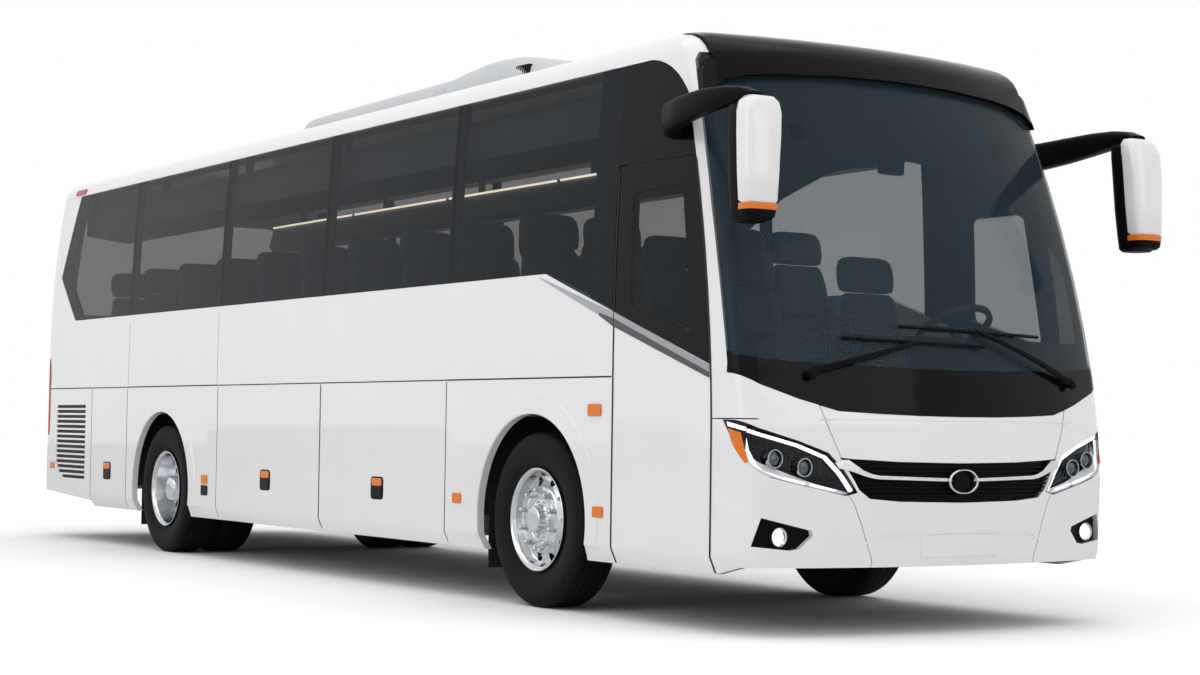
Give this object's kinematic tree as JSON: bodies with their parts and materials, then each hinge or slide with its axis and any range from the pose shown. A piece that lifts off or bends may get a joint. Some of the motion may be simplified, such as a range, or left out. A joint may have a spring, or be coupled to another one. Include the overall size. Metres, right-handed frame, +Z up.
{
  "type": "coach bus",
  "caption": "Single-deck two-axle touring coach in white with a black window band, roof air conditioner, outswinging entry door and side luggage flaps",
  "frame": {"origin": "on the ground under the middle of the footprint", "axes": "+X to the left side of the coach, front faces -Y, +Z up"},
  "size_m": [2.88, 11.08, 3.388],
  "materials": {
    "white_paint": "gloss white paint",
    "black_paint": "gloss black",
    "tinted_glass": "dark tinted glass",
    "clear_glass": "clear glass",
    "lamp_lens": "clear lens",
    "red_lens": "red lens",
    "amber_lens": "amber lens",
    "dark_plastic": "textured dark plastic",
    "chassis_black": "satin black paint",
    "rubber": "matt",
    "tyre": "matt",
    "wheel_paint": "silver paint",
    "axle_iron": "dark grey",
    "fabric": "woven seat cloth",
    "floor_covering": "grey floor covering",
    "roof_unit": "white moulding",
    "steel": "bright steel"
  },
  "bodies": {
    "body": {"chassis_rails": "chassis_black", "luggage_hold": "chassis_black", "wheel_houses": "dark_plastic", "floor": "floor_covering", "lower_side_panels": "white_paint", "upper_side_panels": "white_paint", "window_frames": "black_paint", "side_windows": "tinted_glass", "roof": "white_paint", "front_cap": "white_paint", "front_brow": "white_paint", "windscreen": "clear_glass", "front_mask": "black_paint", "front_panel": "white_paint", "front_bumper": "white_paint", "grille": "dark_plastic", "headlamps": "lamp_lens", "wipers": "rubber", "mirrors": "white_paint", "rear_panel": "white_paint", "rear_window": "tinted_glass", "tail_lamps": "red_lens", "side_lamps": "amber_lens", "mud_flaps": "rubber", "passenger_seats": "fabric", "front_seats": "fabric", "dashboard": "dark_plastic", "luggage_racks": "dark_plastic", "front_axle": "axle_iron", "rear_axle": "axle_iron", "engine_block": "axle_iron", "roof_ac_unit": "roof_unit", "flap_hinges": "steel"},
    "door_arm": {"entry_door_arm": "chassis_black"},
    "door": {"entry_door": "white_paint", "entry_door_frame": "black_paint", "entry_door_glass": "tinted_glass"},
    "flap_front_right": {"luggage_flap_front_right": "white_paint"},
    "flap_rear_right": {"luggage_flap_rear_right": "white_paint"},
    "flap_front_left": {"luggage_flap_front_left": "white_paint"},
    "flap_rear_left": {"luggage_flap_rear_left": "white_paint"},
    "service_right": {"service_flap_right": "white_paint"},
    "service_left": {"service_flap_left": "white_paint"},
    "engine_cover": {"engine_lid": "white_paint"},
    "steer_right": {"knuckle_right": "axle_iron"},
    "steer_left": {"knuckle_left": "axle_iron"},
    "road_wheel_front_right": {"wheel_front_right": "wheel_paint", "tyre_front_right": "tyre"},
    "road_wheel_front_left": {"wheel_front_left": "wheel_paint", "tyre_front_left": "tyre"},
    "road_wheel_rear_right": {"wheel_rear_right": "wheel_paint", "tyres_rear_right": "tyre"},
    "road_wheel_rear_left": {"wheel_rear_left": "wheel_paint", "tyres_rear_left": "tyre"},
    "hand_wheel": {"steering_wheel": "dark_plastic"}
  },
  "joints": [
    {"name": "door_swing", "type": "hinge", "parent": "body", "child": "door_arm", "pos_m": [-1.16, -4.81, 0.91], "axis": [0, 0, 1], "range_deg": [0, 135]},
    {"name": "door_level", "type": "hinge", "parent": "door_arm", "child": "door", "pos_m": [-1.138, -4.39, 0.91], "axis": [0, 0, 1], "range_deg": [-135, 0]},
    {"name": "luggage_flap_front_right_hinge", "type": "hinge", "parent": "body", "child": "flap_front_right", "pos_m": [-1.2473, -1.225, 1.32], "axis": [0, 1, 0], "range_deg": [0, 95]},
    {"name": "luggage_flap_front_left_hinge", "type": "hinge", "parent": "body", "child": "flap_front_left", "pos_m": [1.2473, -1.225, 1.32], "axis": [0, -1, 0], "range_deg": [0, 95]},
    {"name": "luggage_flap_rear_right_hinge", "type": "hinge", "parent": "body", "child": "flap_rear_right", "pos_m": [-1.2473, 0.585, 1.32], "axis": [0, 1, 0], "range_deg": [0, 95]},
    {"name": "luggage_flap_rear_left_hinge", "type": "hinge", "parent": "body", "child": "flap_rear_left", "pos_m": [1.2473, 0.585, 1.32], "axis": [0, -1, 0], "range_deg": [0, 95]},
    {"name": "service_flap_right_hinge", "type": "hinge", "parent": "body", "child": "service_right", "pos_m": [-1.2473, 3.8365, 1.32], "axis": [0, 1, 0], "range_deg": [0, 95]},
    {"name": "service_flap_left_hinge", "type": "hinge", "parent": "body", "child": "service_left", "pos_m": [1.2473, 3.8365, 1.32], "axis": [0, -1, 0], "range_deg": [0, 95]},
    {"name": "engine_lid_hinge", "type": "hinge", "parent": "body", "child": "engine_cover", "pos_m": [0, 5.5373, 1.693], "axis": [1, 0, 0], "range_deg": [0, 90]},
    {"name": "steer_left_pin", "type": "hinge", "parent": "body", "child": "steer_left", "pos_m": [0.92, -3.15, 0.506], "axis": [0, 0, 1], "range_deg": [-40, 40]},
    {"name": "steer_right_pin", "type": "hinge", "parent": "body", "child": "steer_right", "pos_m": [-0.92, -3.15, 0.506], "axis": [0, 0, 1], "range_deg": [-40, 40]},
    {"name": "wheel_front_right_spin", "type": "hinge", "parent": "steer_right", "child": "road_wheel_front_right", "pos_m": [-1.075, -3.15, 0.506], "axis": [1, 0, 0], "continuous": true},
    {"name": "wheel_rear_right_spin", "type": "hinge", "parent": "body", "child": "road_wheel_rear_right", "pos_m": [-0.905, 2.64, 0.506], "axis": [1, 0, 0], "continuous": true},
    {"name": "wheel_front_left_spin", "type": "hinge", "parent": "steer_left", "child": "road_wheel_front_left", "pos_m": [1.075, -3.15, 0.506], "axis": [1, 0, 0], "continuous": true},
    {"name": "wheel_rear_left_spin", "type": "hinge", "parent": "body", "child": "road_wheel_rear_left", "pos_m": [0.905, 2.64, 0.506], "axis": [1, 0, 0], "continuous": true},
    {"name": "hand_wheel_turn", "type": "hinge", "parent": "body", "child": "hand_wheel", "pos_m": [0.56, -4.75, 1.61], "axis": [0, 0.5269, 0.8499], "range_deg": [-720, 720]}
  ],
  "couplings": [
    {"joint": "door_level", "follows": "door_swing", "ratio": -1},
    {"joint": "steer_right_pin", "follows": "steer_left_pin", "ratio": 1},
    {"joint": "hand_wheel_turn", "follows": "steer_left_pin", "ratio": 18}
  ]
}
